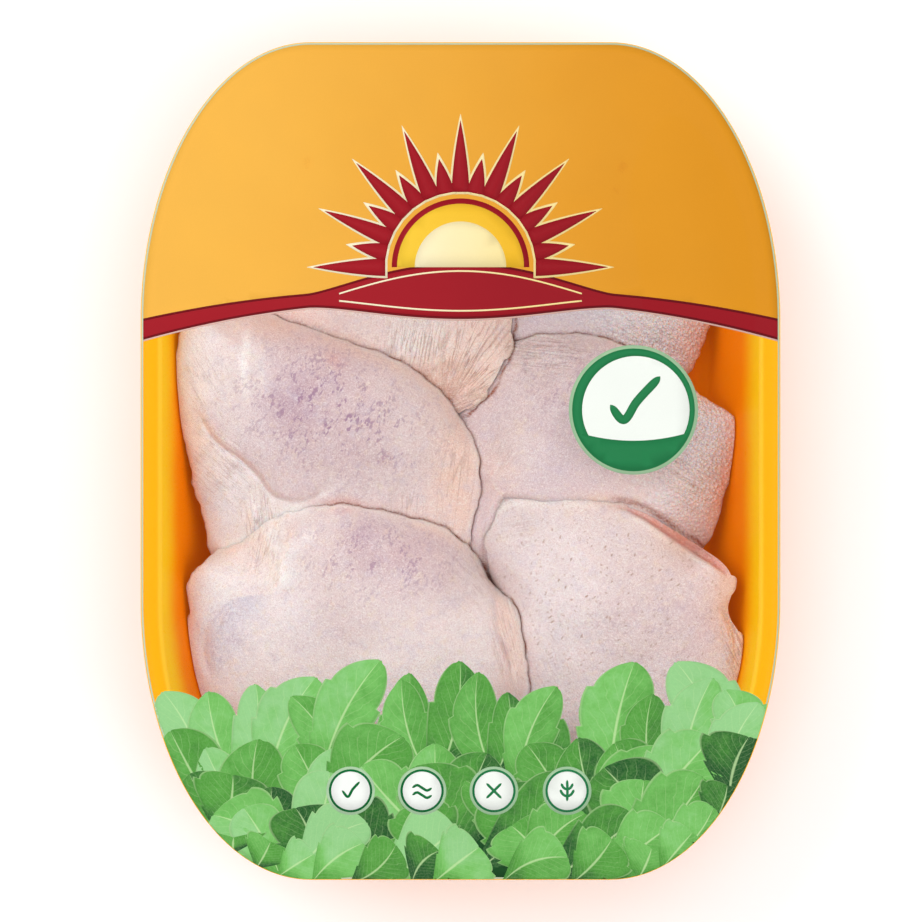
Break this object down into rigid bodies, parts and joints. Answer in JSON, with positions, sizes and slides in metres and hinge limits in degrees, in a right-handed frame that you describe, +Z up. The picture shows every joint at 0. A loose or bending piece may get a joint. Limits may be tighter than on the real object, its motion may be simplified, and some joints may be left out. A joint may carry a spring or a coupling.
{
  "type": "sealed tray pack of raw chicken thighs",
  "caption": "Deep plastic tray with a flat rim and a printed clear lid film, filled with raw chicken thighs lying skin side up like shingles.",
  "frame": {"origin": "under the middle of the pack, on the surface that it stands on", "axes": "+Z up, +X to the right and +Y towards the back of the pack, which is the top of its printed side as it is read"},
  "size_m": [0.192, 0.2514, 0.0498],
  "materials": {
    "tray_plastic": "opaque orange-yellow moulded plastic, soft gloss",
    "lid_film": "thin clear film with fields of printed colour",
    "raw_skin": "raw chicken skin: pale pink to lavender, moist, with pores and fine wrinkles"
  },
  "bodies": {
    "root": {"tray": "tray_plastic", "lid_film": "lid_film", "thigh_front_left": "raw_skin", "thigh_front_right": "raw_skin", "thigh_middle_left": "raw_skin", "thigh_back_left": "raw_skin", "thigh_middle_right": "raw_skin", "thigh_back_right": "raw_skin"}
  },
  "joints": []
}
